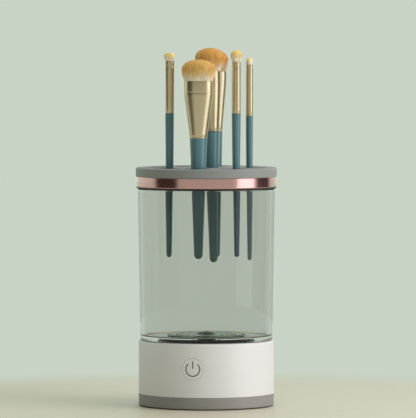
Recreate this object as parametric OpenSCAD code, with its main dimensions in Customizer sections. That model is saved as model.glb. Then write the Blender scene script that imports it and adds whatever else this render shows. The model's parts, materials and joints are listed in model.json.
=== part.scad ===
// Electric make-up brush cleaner.
// A round battery base turns a stirring disc in a clear cup that lifts off it. The cup's lid has nine
// silicone slots, and six brushes stand in them with their handles down in the cup.
// Millimetres, +Z up, origin at the centre of the footprint on the table. The power button faces -Y.

/* [Base] */
// Radius of the base
base_r = 45; // [45:0.5:46]
// Height of the base's top rim
base_top = 43.7; // [43.5:0.1:45]
// Height of the grey bottom cover
cover_top = 8.3; // [7.8:0.1:8.6]
// Wall thickness of the base shells
shell_t = 2.4; // [2.2:0.1:2.6]
// Radius of the rounded top edge of the base
base_edge = 0.9; // [0.5:0.1:1.2]
// Radius of the dark boss that the cup drops over
boss_r = 31.7; // [31:0.1:31.9]
// Number of grip ribs round the boss
boss_ribs = 48; // [24:4:60]

/* [Power button] */
// Radius of the button cap
button_r = 7.2; // [6:0.1:8]
// Height of the button's centre
button_z = 27.2; // [26:0.1:28]
// Travel of the button
button_travel = 0.5; // [0.3:0.1:0.5]
// Gap round the button cap
button_gap = 0.15; // [0.1:0.05:0.3]
// Outer radius of the power symbol
icon_r = 5; // [4:0.1:5.5]
// Stroke width of the power symbol
icon_w = 0.75; // [0.6:0.05:1.2]

/* [Cup] */
// Outer radius of the cup at its foot
cup_foot_r = 43.9; // [43.7:0.1:44.2]
// Outer radius of the cup below the lid
cup_top_r = 45.5; // [45.3:0.1:45.7]
// Wall thickness of the cup
cup_t = 2.7; // [2.4:0.1:2.8]
// Height of the shoulder that the lid's gasket sits over
shoulder_z = 144.3; // [144.1:0.1:144.4]
// Radius of the stirring disc
rotor_r = 26; // [22:0.5:28]

/* [Lid] */
// Radius of the lid
lid_r = 46.9; // [46.8:0.1:47.4]
// Height of the lid's underside
lid_z = 145.8; // [145.7:0.1:145.9]
// Height of the metallic trim ring
trim_h = 6.8; // [6.6:0.1:6.9]
// Height of the grey silicone above the trim ring
silicone_h = 5.9; // [5.8:0.1:6.4]
// Radius of the ring of slots
slot_ring_r = 32; // [31.5:0.1:32.5]
// Radius of each slot
slot_r = 9; // [8.9:0.1:9.2]
// Radius of the opening between the petals of an empty slot
empty_r = 4.5; // [4.5:0.1:5]

/* [Hidden] */
$fn = 64;
fine = 96;      // facets of the large visible rings
coarse = 32;    // facets inside hull()
eps = 0.1;      // thickness of the slices that a hull joins
cut = 1;        // how far a cutting shape runs past the face it cuts
fit_gap = 0.04; // running clearance of shafts
snug = 0.02;    // clearance of pressed parts

// Base
pad_rise = 0.6;                      // how far the foot pads stand out of the cover
cover_floor = 2;                     // thickness of the cover's floor
floor_z = pad_rise + cover_floor;    // top of the cover's floor
seam = 0.1;                          // seam between the cover and the housing
housing_z = cover_top + seam;        // bottom of the housing
inner_r = base_r - shell_t;          // inside of the housing wall
deck_t = 1.5;                        // thickness of the deck plate
deck_top = base_top - 0.4;           // deck plate's upper face
deck_z = deck_top - deck_t;          // deck plate's lower face
ledge_t = 2.2;                       // thickness of the ledge under the deck plate
ledge_r = 25;                        // inner radius of that ledge
boss_top = deck_top + 2.4;           // top of the boss
post_ring_r = 36;                    // ring of the cover's screw posts
post_angles = [45, 135, 225, 315];
post_r = 3.2;
post_z = cover_top + 4;              // foot of the housing's posts
post_air = 0.2;                      // gap between a post and the cover's sleeve under it
sleeve_r = 4.2;                      // cover's sleeve round each screw
seat_z = 5;                          // seat of the cover screws' heads
pilot_r = 1.3;                       // pilot holes of the cover and deck screws
shank_r = 1.25;
lip_t = 1.4;                         // lip of the cover inside the housing
lip_gap = 0.2;
deck_screw_r = 28.5;                 // ring of the deck plate's screws
deck_screw_angles = [0, 120, 240];
pad_ring_r = 33;                     // ring of the foot pads
pad_angles = [0, 90, 180, 270];
pad_r = 5;
pad_t = 1.5;
cover_head_r = 2.5;
cover_head_h = 1.6;
deck_head_r = 2.3;
deck_head_h = 1.4;

// Motor and couplers, all on the Z axis
tower_z = 36.2;                      // underside of the deck plate's motor tower
tower_r = 13.5;
pocket_r = 8.6;                      // pocket that holds the couplers
pocket_z = 38;
seal_r = 3;                          // seat of the shaft seal
rib_h = 0.5;                         // how far the boss's grip ribs stand out
rib_w = 1.8;
motor_r = 12;
motor_z = 14.2;                      // bottom of the motor can
can_t = 0.8;                         // wall of the motor can
magnet_in = 9.2;                     // inner radius of the magnets
armature_r = 8.6;
commutator_r = 2.6;
motor_top = tower_z;
end_cap_h = 3;
motor_shaft_r = 1;
motor_shaft_z = 10.8;
motor_screw_x = 5.5;
coupler_r = 7.6;
dog_in = 3.2;                        // inner radius of the coupler dogs
dog_out = 7.4;
dog_deg = 48;                        // width of one dog
drive_z = 39.9;                      // underside of the lower coupler
drive_t = 1.4;
dog_h = 1.8;
dog_air = 0.2;                       // gap over the tips of the dogs
driven_z = drive_z + drive_t + dog_h + dog_air;
driven_t = 1;
motor_shaft_top = drive_z + drive_t;

// Board, socket and battery
board_z = 8.8;
board_t = 1.2;
board_y = 15;                        // front edge of the main board
board_half = 20;
board_r = 39.5;
board_holes = [[-16, 19], [16, 19], [0, 27]];
board_pilot_r = 0.9;
usb_w = 8.9;
usb_h = 3.2;
usb_len = 7.4;
usb_z = board_z + board_t + usb_h / 2;
usb_front = 42;                      // y of the socket's mouth
port_r = 1.8;                        // rounded ends of the opening in the housing
port_half = 3;                       // half the distance between their centres
switch_y = -33;                      // back face of the upright switch board
switch_w = 16;
switch_h = 20;
switch_body_w = 6;
switch_body_d = 3.5;
switch_front = switch_y - board_t - switch_body_d;
plunger_r = 1.75;
plunger_in = 1;                      // how deep the plunger sits in the switch at rest
plunger_out = 0.9;                   // how far it stands out, up to the button's stem
cell = [9, 32, 26];                  // battery cell
cell_at = [-21.5, -3, 6];          // centre of the cell's underside
cradle_t = 1.5;
lead_r = 0.6;                        // radius of the power leads
signal_r = 0.5;                      // radius of the switch leads

// Cup
cup_foot_z = base_top + 0.4;
recess_top = boss_top + 0.2;
cup_floor_z = recess_top + 0.9;
recess_r = boss_r + 0.5;
neck_r = 44;
neck_top = lid_z + 5.2;
cup_in_top = cup_top_r - cup_t - 0.4;
cup_in_foot = cup_foot_r - cup_t;
floor_fillet = 3;
bush_r = 6.3;
bush_flange_r = 7.6;
bush_flange_z = driven_z + driven_t + 0.2;
rotor_shaft_r = 1.5;
rotor_z = cup_floor_z + 0.3;
rotor_t = 0.8;
rotor_ridges = [25.4, 20.2];
rotor_ribs = 8;
hub_h = 1.3;

// Lid
trim_top = lid_z + trim_h;
lid_top = trim_top + silicone_h;
plate_up = 6.1;                      // from the lid's underside to its frame's plate
plate_z = lid_z + plate_up;
plate_t = 2;
plate_r = lid_r - 1.3;
skirt_in = neck_r + 0.35;
membrane_top = lid_top - 1;
membrane_t = 1.2;
slit_w = 0.5;
slots = 8;                           // slots in the ring, and one more at the centre

// Brushes. Each row is one brush:
//   slot: number of the 45 degree step from -Y towards +X, or -1 for the centre slot
//   shift: where the handle leans in its slot, [x, y]
//   lean: tilt of the whole brush about Y, in degrees
//   heights: handle tip, ferrule foot, ferrule top, bristle top
//   handle: radius near the tip, at the lid, at the ferrule
//   ferrule: half width and half depth at its top, and the height of the straight band above its crimp
//   head: half width and half depth at its widest, and the height of its dome
BRUSHES = [
    [7, [2.3, 0.5], 0, [99.8, 195, 229.5, 235], [1.7, 2.55, 2.9], [3.1, 2.6, 3.2], [3.5, 2.3, 1.6]],
    [0, [1.2, 0.2], 0, [99.2, 178.8, 216.5, 231], [2.8, 4.95, 5.8], [9.7, 7.2, 4], [11.3, 8.4, 6]],
    [-1, [3.6, 0.8], -1.15, [95.5, 182.6, 222.6, 238.5], [2.7, 4.5, 5.6], [7.3, 6.6, 7.4], [9.2, 8.2, 7]],
    [4, [0.6, 0], 0, [97.5, 181.7, 222, 236], [2.4, 3.5, 3.9], [6.9, 5.8, 6], [8.1, 6.9, 6.5]],
    [1, [2, 0.5], 0, [100.3, 195, 229, 236.8], [1.6, 2.5, 3], [3, 3, 3.3], [3.8, 3.8, 3.6]],
    [2, [-2.7, -0.5], 0, [97.2, 192.8, 226.8, 231.8], [1.4, 2.15, 2.4], [2.35, 2.35, 2.8], [2.3, 2.3, 4.2]],
];
tenon = 7;                           // how far the handle reaches into the ferrule
tenon_gap = 0.15;                    // glue gap round the tenon
root = 3;                            // how far the bristles reach into the ferrule
ferrule_t = 0.5;
crimp_t = 0.25;

// Colours
white = [0.88, 0.88, 0.86];
grey = [0.5, 0.51, 0.49];
rose = [0.78, 0.6, 0.55];
black = [0.06, 0.06, 0.07];
charcoal = [0.17, 0.18, 0.18];
clear = [0.8, 0.88, 0.85, 0.35];
steel = [0.72, 0.73, 0.75];
copper = [0.8, 0.5, 0.3];
red = [0.7, 0.12, 0.1];
blue = [0.25, 0.42, 0.62];
teal = [0.2, 0.33, 0.35];
gold = [0.82, 0.74, 0.56];
amber = [0.88, 0.62, 0.28];
board_green = [0.1, 0.35, 0.2];

// ---- shared shapes ----

// Points of an arc about c, from angle a0 to a1.
function arc(c, r, a0, a1, n = 6) =
    [for (i = [0:n]) c + r * [cos(a0 + (a1 - a0) * i / n), sin(a0 + (a1 - a0) * i / n)]];

// Points of a cubic curve with end points a and d and handles b and c.
function curve(a, b, c, d, n = 8) =
    [for (i = [0:n]) let (t = i / n, s = 1 - t)
        s * s * s * a + 3 * s * s * t * b + 3 * s * t * t * c + t * t * t * d];

module tube(r_out, r_in, z0, z1) {
    translate([0, 0, z0]) difference() {
        cylinder(r = r_out, h = z1 - z0);
        translate([0, 0, -cut]) cylinder(r = r_in, h = z1 - z0 + 2 * cut);
    }
}

// Ring with rounded outer edges, between two heights.
module soft_ring(r_out, r_in, z0, z1, edge_low, edge_high) {
    rotate_extrude($fn = fine) polygon(concat(
        [[r_in, z0]],
        arc([r_out - edge_low, z0 + edge_low], edge_low, -90, 0),
        arc([r_out - edge_high, z1 - edge_high], edge_high, 0, 90),
        [[r_in, z1]]));
}

module at_ring(r, angles) {
    for (a = angles) rotate([0, 0, a]) translate([r, 0, 0]) children();
}

// A pan-head screw with its head down at z0 and its shank upwards.
module screw_up(z0, head_r, head_h, shank_r, length) {
    translate([0, 0, z0]) difference() {
        union() {
            cylinder(r = head_r, h = head_h);
            cylinder(r = shank_r, h = head_h + length);
        }
        for (a = [0, 90]) rotate([0, 0, a])
            translate([-head_r * 0.6, -0.25, -cut]) cube([head_r * 1.2, 0.5, cut + head_h * 0.45]);
    }
}

// A wire of radius r through the given points, as one swept tube. Every route runs mostly along Y or Z,
// so the rings are laid out from the X direction.
wire_sides = 8;
function wire_dir(pts, i) =
    let (d = pts[min(i + 1, len(pts) - 1)] - pts[max(i - 1, 0)]) d / norm(d);
function wire_ring(pts, i, r) =
    let (d = wire_dir(pts, i), v = cross(d, [1, 0, 0]), side = v / norm(v), up = cross(d, side))
    [for (k = [0:wire_sides - 1]) let (a = 360 * k / wire_sides) pts[i] + r * (side * cos(a) + up * sin(a))];
module wire(pts, r) {
    last = len(pts) - 1;
    polyhedron(
        points = [for (i = [0:last]) each wire_ring(pts, i, r)],
        faces = concat(
            [[for (k = [0:wire_sides - 1]) k]],
            [for (i = [0:last - 1], k = [0:wire_sides - 1]) let (n = (k + 1) % wire_sides)
                [i * wire_sides + k, (i + 1) * wire_sides + k, (i + 1) * wire_sides + n, i * wire_sides + n]],
            [[for (k = [wire_sides - 1:-1:0]) last * wire_sides + k]]));
}

// ---- base ----

module base_housing() {
    post_top = deck_z - ledge_t;
    guide_z = 16;
    guide_t = 2;
    color(white) difference() {
        union() {
            rotate_extrude($fn = fine) polygon(concat(
                [[inner_r, housing_z], [base_r, housing_z]],
                arc([base_r - base_edge, base_top - base_edge], base_edge, 0, 90),
                [[inner_r, base_top], [inner_r, deck_z], [ledge_r, deck_z],
                 [ledge_r, post_top], [inner_r, post_top]]));
            at_ring(post_ring_r, post_angles) translate([0, 0, post_z])
                cylinder(r = post_r, h = post_top - post_z);
            // guides that hold the upright switch board
            for (side = [-1, 1])
                translate([side * (switch_w / 2 + 0.9) - guide_t / 2, switch_y - 2.4, guide_z])
                    cube([guide_t, 4.4, post_top - guide_z]);
        }
        at_ring(post_ring_r, post_angles) translate([0, 0, cover_top]) cylinder(r = pilot_r, h = 16);
        at_ring(deck_screw_r, deck_screw_angles) translate([0, 0, post_top - cut])
            cylinder(r = shank_r + 0.15, h = ledge_t + 2 * cut);
        // slots of the guides
        translate([-switch_w / 2 - 0.2, switch_y - board_t - 0.2, guide_z - cut])
            cube([switch_w + 0.4, board_t + 0.4, post_top - guide_z + cut]);
        // button hole
        translate([0, -inner_r + 4, button_z]) rotate([90, 0, 0])
            cylinder(r = button_r + button_gap, h = shell_t + 10);
        // charging port
        hull() for (side = [-1, 1]) translate([side * port_half, usb_front - 1.5, usb_z]) rotate([-90, 0, 0])
            cylinder(r = port_r, h = shell_t + 5, $fn = coarse);
    }
}

module base_cover() {
    sunk = 0.2;             // how far the inner features reach into the floor
    lip_r = inner_r - lip_gap;
    color(grey) difference() {
        union() {
            soft_ring(base_r, 0, pad_rise, floor_z, 0.9, 0.01);
            soft_ring(base_r, inner_r, pad_rise + 1, cover_top, 0.01, 0.2);
            // lip that locates the housing
            tube(lip_r, lip_r - lip_t, floor_z - sunk, cover_top + 2.2);
            at_ring(post_ring_r, post_angles) translate([0, 0, floor_z - sunk])
                cylinder(r = sleeve_r, h = post_z - post_air - floor_z + sunk);
            for (p = board_holes) translate([p[0], p[1], floor_z - sunk])
                cylinder(r = 2.6, h = board_z - floor_z + sunk);
        }
        at_ring(post_ring_r, post_angles) translate([0, 0, -cut]) {
            cylinder(r = shank_r + 0.35, h = post_z + 5);
            cylinder(r = cover_head_r + 0.3, h = cut + seat_z);
        }
        at_ring(pad_ring_r, pad_angles) translate([0, 0, -cut]) cylinder(r = pad_r + snug, h = cut + pad_t);
        for (p = board_holes) translate([p[0], p[1], floor_z + 1]) cylinder(r = board_pilot_r, h = board_z);
        // room for the charging socket above the lip
        translate([-6, board_r - 3.5, board_z - 0.4]) cube([12, 8, 10]);
    }
}

module foot_pads() {
    color(black) at_ring(pad_ring_r, pad_angles) rotate_extrude() polygon(concat(
        [[0, 0]], arc([pad_r - 0.3, 0.3], 0.3, -90, 0, 3), [[pad_r, pad_t], [0, pad_t]]));
}

module cover_screws() {
    color(steel) at_ring(post_ring_r, post_angles)
        screw_up(seat_z - cover_head_h, cover_head_r, cover_head_h, shank_r, 14);
}

module deck_plate() {
    color(charcoal) difference() {
        union() {
            translate([0, 0, deck_z]) cylinder(r = inner_r - 0.2, h = deck_t, $fn = fine);
            translate([0, 0, deck_z]) cylinder(r = boss_r - rib_h, h = boss_top - deck_z, $fn = fine);
            for (i = [0:boss_ribs - 1]) rotate([0, 0, 360 * i / boss_ribs])
                translate([boss_r - rib_h - 0.7, -rib_w / 2, deck_z])
                    cube([rib_h + 0.7, rib_w, boss_top - deck_z - 0.1]);
            translate([0, 0, tower_z]) cylinder(r = tower_r, h = deck_z - tower_z + 0.5);
        }
        translate([0, 0, pocket_z]) cylinder(r = pocket_r, h = 20);
        translate([0, 0, tower_z - cut]) cylinder(r = seal_r, h = 10);
        for (side = [-1, 1]) translate([side * motor_screw_x, 0, tower_z - cut]) cylinder(r = 1.1, h = 10);
        at_ring(deck_screw_r, deck_screw_angles) translate([0, 0, deck_z - cut])
            cylinder(r = pilot_r, h = cut + 2.4);
    }
}

module deck_seal() {
    color(white) soft_ring(inner_r - 0.4, boss_r + 2.2, deck_top, cup_foot_z - 0.1, 0.1, 0.3);
}

module deck_screws() {
    color(steel) at_ring(deck_screw_r, deck_screw_angles)
        screw_up(deck_z - ledge_t - deck_head_h, deck_head_r, deck_head_h, shank_r, ledge_t + 2.2);
}

module motor_can() {
    color(steel) difference() {
        soft_ring(motor_r, 0, motor_z, motor_top, 0.1, 0.8);
        translate([0, 0, motor_z - cut]) cylinder(r = motor_r - can_t, h = motor_top - motor_z - 1 + cut);
        cylinder(r = motor_shaft_r + fit_gap, h = base_top);
        for (side = [-1, 1]) translate([side * motor_screw_x, 0, motor_top - 3]) cylinder(r = 1, h = 10);
    }
}

module motor_magnets() {
    color(charcoal) difference() {
        tube(motor_r - can_t - 0.1, magnet_in, motor_z + 2, motor_top - 2);
        translate([-2.5, -motor_r, motor_z]) cube([5, 2 * motor_r, motor_top]);
    }
}

module motor_end_cap() {
    color(white) difference() {
        union() {
            translate([0, 0, motor_z - end_cap_h]) cylinder(r = motor_r, h = end_cap_h);
            translate([0, 0, motor_z - 0.1]) cylinder(r = motor_r - can_t - 0.1, h = 0.9);
        }
        cylinder(r = motor_shaft_r + fit_gap, h = base_top);
        translate([0, 0, motor_z - 0.8]) cylinder(r = 8, h = 5);
    }
    // solder tags
    color(gold) for (side = [-1, 1]) translate([side * 8 - 0.8, 5, motor_z - end_cap_h - 1.2])
        cube([1.6, 0.5, 1.2]);
}

module motor_screws() {
    color(steel) for (side = [-1, 1]) translate([side * motor_screw_x, 0, 0]) rotate([180, 0, 0])
        screw_up(-pocket_z - 1.2, 1.9, 1.2, 0.95, 4);
}

module shaft_seal() {
    color(black) tube(seal_r - snug, motor_shaft_r + fit_gap, tower_z + 0.1, pocket_z);
}

module battery_cell() {
    color(blue) translate(cell_at) hull() for (y = [-1, 1])
        translate([-cell[0] / 2 + 1, y * (cell[1] / 2 - 1), 0]) {
            cylinder(r = 1, h = cell[2], $fn = coarse);
            translate([cell[0] - 2, 0, 0]) cylinder(r = 1, h = cell[2], $fn = coarse);
        }
}

// Open-topped cradle on the cover's floor, with four corner posts.
module battery_cradle() {
    tray = [cell[0] + 2 * cradle_t + 0.4, cell[1] + 2 * cradle_t + 0.4];
    color(white) translate([cell_at[0], cell_at[1], 0]) difference() {
        translate([-tray[0] / 2, -tray[1] / 2, floor_z]) cube([tray[0], tray[1], 26]);
        translate([-cell[0] / 2 - 0.2, -cell[1] / 2 - 0.2, cell_at[2] - 0.1])
            cube([cell[0] + 0.4, cell[1] + 0.4, 40]);
        translate([-tray[0] / 2 - cut, -cell[1] / 2 + 4, cell_at[2] + 3])
            cube([tray[0] + 2 * cut, cell[1] - 8, 40]);
        translate([-cell[0] / 2 + 1, -tray[1] / 2 - cut, cell_at[2] + 3])
            cube([cell[0] - 2, tray[1] + 2 * cut, 40]);
    }
}

module main_board() {
    color(board_green) translate([0, 0, board_z]) difference() {
        intersection() {
            cylinder(r = board_r, h = board_t);
            translate([-board_half, board_y, 0]) cube([2 * board_half, board_r, board_t]);
        }
        for (p = board_holes) translate([p[0], p[1], -cut]) cylinder(r = 1.1, h = board_t + 2 * cut);
    }
}

module board_parts() {
    top = board_z + board_t;
    color(black) {
        translate([-10, 17.5, top]) cube([6, 5, 1.4]);
        translate([5, 18, top]) cube([4, 4, 1.1]);
        translate([-12, 28, top]) cube([3, 3, 1.6]);
    }
    color(steel) translate([9.5, 28, top]) cylinder(r = 2, h = 4.5);
    color(white) {
        translate([-18.5, 25, top]) cube([4.5, 6, 4]);
        translate([14, 25, top]) cube([4.5, 6, 4]);
    }
}

module board_screws() {
    color(steel) for (p = board_holes) translate([p[0], p[1], 0]) rotate([180, 0, 0])
        screw_up(-board_z - board_t - 1, 1.7, 1, 0.85, 5);
}

module usb_socket() {
    corner = usb_h / 2;
    color(steel) translate([0, usb_front - usb_len, usb_z]) rotate([-90, 0, 0]) difference() {
        hull() for (side = [-1, 1]) translate([side * (usb_w / 2 - corner), 0, 0])
            cylinder(r = corner, h = usb_len, $fn = coarse);
        translate([0, 0, 1]) hull() for (side = [-1, 1]) translate([side * (usb_w / 2 - corner), 0, 0])
            cylinder(r = corner - 0.3, h = usb_len, $fn = coarse);
    }
    // contact tongue
    color(black) translate([-3.3, usb_front - usb_len + 0.8, usb_z - 0.35]) cube([6.6, 5.4, 0.7]);
}

module switch_board() {
    color(board_green) translate([-switch_w / 2, switch_y - board_t, button_z - switch_h / 2])
        cube([switch_w, board_t, switch_h]);
}

module switch_body() {
    color(charcoal) difference() {
        translate([-switch_body_w / 2, switch_front, button_z - switch_body_w / 2])
            cube([switch_body_w, switch_body_d, switch_body_w]);
        translate([0, switch_front + plunger_in + button_travel + 0.2, button_z]) rotate([90, 0, 0])
            cylinder(r = plunger_r + fit_gap, h = 5);
    }
}

module motor_leads() {
    color(red) wire(curve([8, 6.3, 10.2], [8, 9.5, 9.8], [12.5, 11, 15], [15.3, 24.2, 14.1]), lead_r);
    color(black) wire(curve([-8, 6.3, 10.2], [-6, 13, 10], [-14, 12, 16], [-15.5, 24.2, 14.1]), lead_r);
}

module battery_leads() {
    color(red) wire(curve([-21, 0, 32.8], [-21, 13, 39], [-18.2, 18, 32], [-18, 29, 14.7]), lead_r);
    color(black) wire(curve([-23, 0, 32.8], [-23, 14, 37.5], [-20.5, 16, 32], [-15.8, 26.5, 14.7]), lead_r);
}

module switch_leads() {
    for (side = [-1, 1]) color(side < 0 ? white : charcoal)
        wire(curve([side + 5, switch_y + 0.7, button_z - 6.5], [side * 1.5 + 10, switch_y + 3, 6],
                   [side * 1.5 + 24, 6, 16], [side + 11.5, 17.2, board_z + board_t + 0.6]), signal_r);
}

// ---- power button ----

// Two-dimensional power symbol: a ring open at the top, with a bar through the gap.
module icon_2d() {
    bar_top = icon_r + 0.3;
    icon_open = icon_r * tan(42);
    difference() {
        circle(r = icon_r);
        circle(r = icon_r - icon_w);
        polygon([[0, 0], [-icon_open * 2, icon_r * 2], [icon_open * 2, icon_r * 2]]);
    }
    translate([-icon_w / 2, bar_top - 4.9]) square([icon_w, 4.9]);
}

module icon_solid(r_in, r_out) {
    intersection() {
        translate([0, 0, button_z]) rotate([90, 0, 0]) linear_extrude(base_r + cut) icon_2d();
        tube(r_out, r_in, button_z - 10, button_z + 10);
    }
}

module power_button() {
    color(white) difference() {
        union() {
            intersection() {
                translate([0, 0, button_z]) rotate([90, 0, 0]) cylinder(r = button_r, h = base_r + cut);
                translate([0, 0, button_z - 10]) cylinder(r = base_r, h = 20, $fn = fine);
                translate([-10, -base_r - cut, button_z - 10]) cube([20, 4, 20]);
            }
            // stem to the switch
            translate([0, switch_front - plunger_out, button_z]) rotate([90, 0, 0]) cylinder(r = 2.2, h = 6);
        }
        icon_solid(base_r - 0.5, base_r + cut);
    }
}

module power_icon() {
    color(black) icon_solid(base_r - 0.5, base_r);
}

module switch_plunger() {
    color(black) translate([0, switch_front + plunger_in, button_z]) rotate([90, 0, 0])
        cylinder(r = plunger_r, h = plunger_in + plunger_out);
}

// ---- drive ----

module motor_shaft() {
    color(steel) translate([0, 0, motor_shaft_z])
        cylinder(r = motor_shaft_r, h = motor_shaft_top - motor_shaft_z);
}

module motor_armature() {
    color(copper) difference() {
        union() {
            tube(armature_r, motor_shaft_r + snug, motor_z + 3.5, motor_top - 3.5);
            tube(commutator_r, motor_shaft_r + snug, motor_z + 0.6, motor_z + 3.6);
        }
        for (a = [0, 120, 240]) rotate([0, 0, a]) translate([4, -0.6, motor_z + 2])
            cube([8, 1.2, motor_top - motor_z]);
    }
}

// One coupler face with three dogs that stand on it.
module dogs(h) {
    for (a = [0, 120, 240]) rotate([0, 0, a - dog_deg / 2])
        rotate_extrude(angle = dog_deg) translate([dog_in, 0]) square([dog_out - dog_in, h]);
}

module drive_coupler() {
    color(black) difference() {
        union() {
            translate([0, 0, drive_z]) cylinder(r = coupler_r, h = drive_t);
            translate([0, 0, drive_z + drive_t - 0.1]) dogs(dog_h + 0.1);
        }
        translate([0, 0, drive_z - cut]) cylinder(r = motor_shaft_r + snug, h = 10);
    }
}

// ---- cup ----

module cup() {
    foot_edge = 0.4;
    color(clear) rotate_extrude($fn = fine) polygon(concat(
        [[bush_r + snug, recess_top], [recess_r, recess_top], [recess_r + 0.8, cup_foot_z]],
        arc([cup_foot_r - foot_edge, cup_foot_z + foot_edge], foot_edge, -90, 0, 3),
        arc([cup_top_r - 0.4, shoulder_z - 0.4], 0.4, 0, 90, 3),
        [[neck_r, shoulder_z]],
        arc([neck_r - 0.6, neck_top - 0.6], 0.6, 0, 90, 4),
        [[cup_in_top, neck_top]],
        arc([cup_in_foot - floor_fillet, cup_floor_z + floor_fillet], floor_fillet, 0, -90),
        [[bush_r + snug, cup_floor_z]]));
}

module cup_bush() {
    color(black) difference() {
        union() {
            translate([0, 0, bush_flange_z]) cylinder(r = bush_flange_r, h = recess_top - bush_flange_z);
            translate([0, 0, bush_flange_z]) cylinder(r = bush_r, h = cup_floor_z - bush_flange_z);
        }
        translate([0, 0, bush_flange_z - cut]) cylinder(r = rotor_shaft_r + fit_gap, h = 10);
        translate([0, 0, cup_floor_z - 0.8]) cylinder(r = 3.2 + snug, h = 5);
    }
}

module cup_shaft_seal() {
    color(charcoal) tube(3.2, rotor_shaft_r + fit_gap, cup_floor_z - 0.8, cup_floor_z + 0.05);
}

// ---- stirring disc ----

module rotor_shaft() {
    color(steel) translate([0, 0, driven_z - 1])
        cylinder(r = rotor_shaft_r, h = rotor_z + rotor_t - driven_z + 1);
}

module driven_coupler() {
    color(charcoal) difference() {
        union() {
            translate([0, 0, driven_z]) cylinder(r = coupler_r, h = driven_t);
            translate([0, 0, driven_z - dog_h]) rotate([0, 0, 60]) dogs(dog_h + 0.1);
        }
        translate([0, 0, driven_z - cut]) cylinder(r = rotor_shaft_r + snug, h = 10);
    }
}

module wash_rotor() {
    color(clear) difference() {
        union() {
            soft_ring(rotor_r, 0, rotor_z, rotor_z + rotor_t, 0.2, 0.3);
            for (r = rotor_ridges) tube(r, r - 1, rotor_z + 0.1, rotor_z + rotor_t + 0.6);
            for (i = [0:rotor_ribs - 1]) rotate([0, 0, 360 * i / rotor_ribs])
                translate([9, -0.5, rotor_z + 0.1]) cube([10.8, 1, rotor_t + 0.3]);
        }
        translate([0, 0, rotor_z - cut]) cylinder(r = rotor_shaft_r + snug, h = 10);
    }
}

module rotor_hub() {
    color(black) rotate_extrude() polygon([
        [0, rotor_z + rotor_t], [bush_r, rotor_z + rotor_t], [bush_r, rotor_z + rotor_t + 0.3],
        [2.2, rotor_z + rotor_t + hub_h], [0.9, rotor_z + rotor_t + hub_h + 0.3],
        [0, rotor_z + rotor_t + hub_h + 0.35]]);
}

module rotor_clip() {
    color(steel) difference() {
        tube(2.7, rotor_shaft_r + snug, driven_z - 0.7, driven_z - 0.1);
        translate([0, -0.8, driven_z - 2]) cube([5, 1.6, 4]);
    }
}

// ---- lid ----

// Where slot number i is: 0 faces -Y and the count goes round towards +X; -1 is the centre slot.
function slot_at(i) = i < 0 ? [0, 0] : slot_ring_r * [sin(360 * i / slots), -cos(360 * i / slots)];
function brush_at(b) = slot_at(b[0]) + b[1];

// Radius of a brush's opening: free of its handle just above the lid.
function opening_r(b) = b[4][1] + 0.45;

module lid_frame() {
    color(charcoal) difference() {
        union() {
            translate([0, 0, lid_z]) tube(plate_r - 0.05, skirt_in, 0, plate_z - lid_z + 0.1);
            translate([0, 0, plate_z]) cylinder(r = plate_r - 0.05, h = plate_t, $fn = fine);
        }
        for (i = [-1:slots - 1]) translate([slot_at(i)[0], slot_at(i)[1], plate_z - cut])
            cylinder(r = slot_r + 0.2, h = plate_t + 2 * cut);
    }
}

module trim_ring() {
    color(rose) soft_ring(lid_r, plate_r, lid_z, trim_top, 0.5, 0.3);
}

module silicone_top() {
    color(grey) difference() {
        union() {
            soft_ring(lid_r, plate_r, trim_top + 0.05, lid_top, 0.15, 1);
            translate([0, 0, plate_z + plate_t])
                cylinder(r = plate_r + 0.2, h = lid_top - plate_z - plate_t, $fn = fine);
        }
        for (i = [-1:slots - 1]) translate([slot_at(i)[0], slot_at(i)[1], 0]) {
            translate([0, 0, membrane_top]) cylinder(r = slot_r, h = 10);
            translate([0, 0, plate_z]) cylinder(r = slot_r - 0.2, h = membrane_top - membrane_t - plate_z);
            for (a = [0, 60, 120]) rotate([0, 0, a]) translate([-slot_r + 0.8, -slit_w / 2, plate_z])
                cube([2 * slot_r - 1.6, slit_w, 10]);
        }
        for (i = [3, 5, 6]) translate([slot_at(i)[0], slot_at(i)[1], plate_z]) cylinder(r = empty_r, h = 10);
        for (b = BRUSHES) translate([brush_at(b)[0], brush_at(b)[1], plate_z])
            cylinder(r = opening_r(b), h = 10);
    }
}

module lid_gasket() {
    color(black) soft_ring(lid_r - 0.6, skirt_in, lid_z - 1.3, lid_z, 0.3, 0.1);
}

// ---- brushes ----

// Puts a brush drawn about the Z axis into its slot, leaning about the lid's top.
module in_slot(b) {
    translate([brush_at(b)[0], brush_at(b)[1], lid_top]) rotate([0, b[2], 0])
        translate([0, 0, -lid_top]) children();
}

module handle(b) {
    tip_z = b[3][0];
    foot_z = b[3][1];
    tip_r = b[4][0];
    color(teal) in_slot(b) rotate_extrude() polygon(concat(
        arc([0, tip_z + tip_r], tip_r, -90, -8, 8),
        [[b[4][1], lid_top], [b[4][2], foot_z - snug],
         [b[4][2] - ferrule_t - tenon_gap, foot_z - snug], [b[4][2] - ferrule_t - tenon_gap, foot_z + tenon],
         [0, foot_z + tenon]]));
}

function is_round(b) = b[5][0] == b[5][1];

// Ferrule's outline as an oval slice at height z.
module oval(half_w, half_d, z) {
    translate([0, 0, z]) scale([1, half_d / half_w, 1]) cylinder(r = half_w, h = eps, $fn = coarse);
}

// Tapered oval body from the handle's round end to the bristles' oval, longer by the given overrun.
module oval_taper(b, inset, overrun) {
    hull() {
        oval(b[4][2] - inset, b[4][2] - inset, b[3][1] - overrun);
        oval(b[5][0] - inset, b[5][1] - inset, b[3][2] - b[5][2] + overrun);
        oval(b[5][0] - inset, b[5][1] - inset, b[3][2] - eps + overrun);
    }
}

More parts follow.
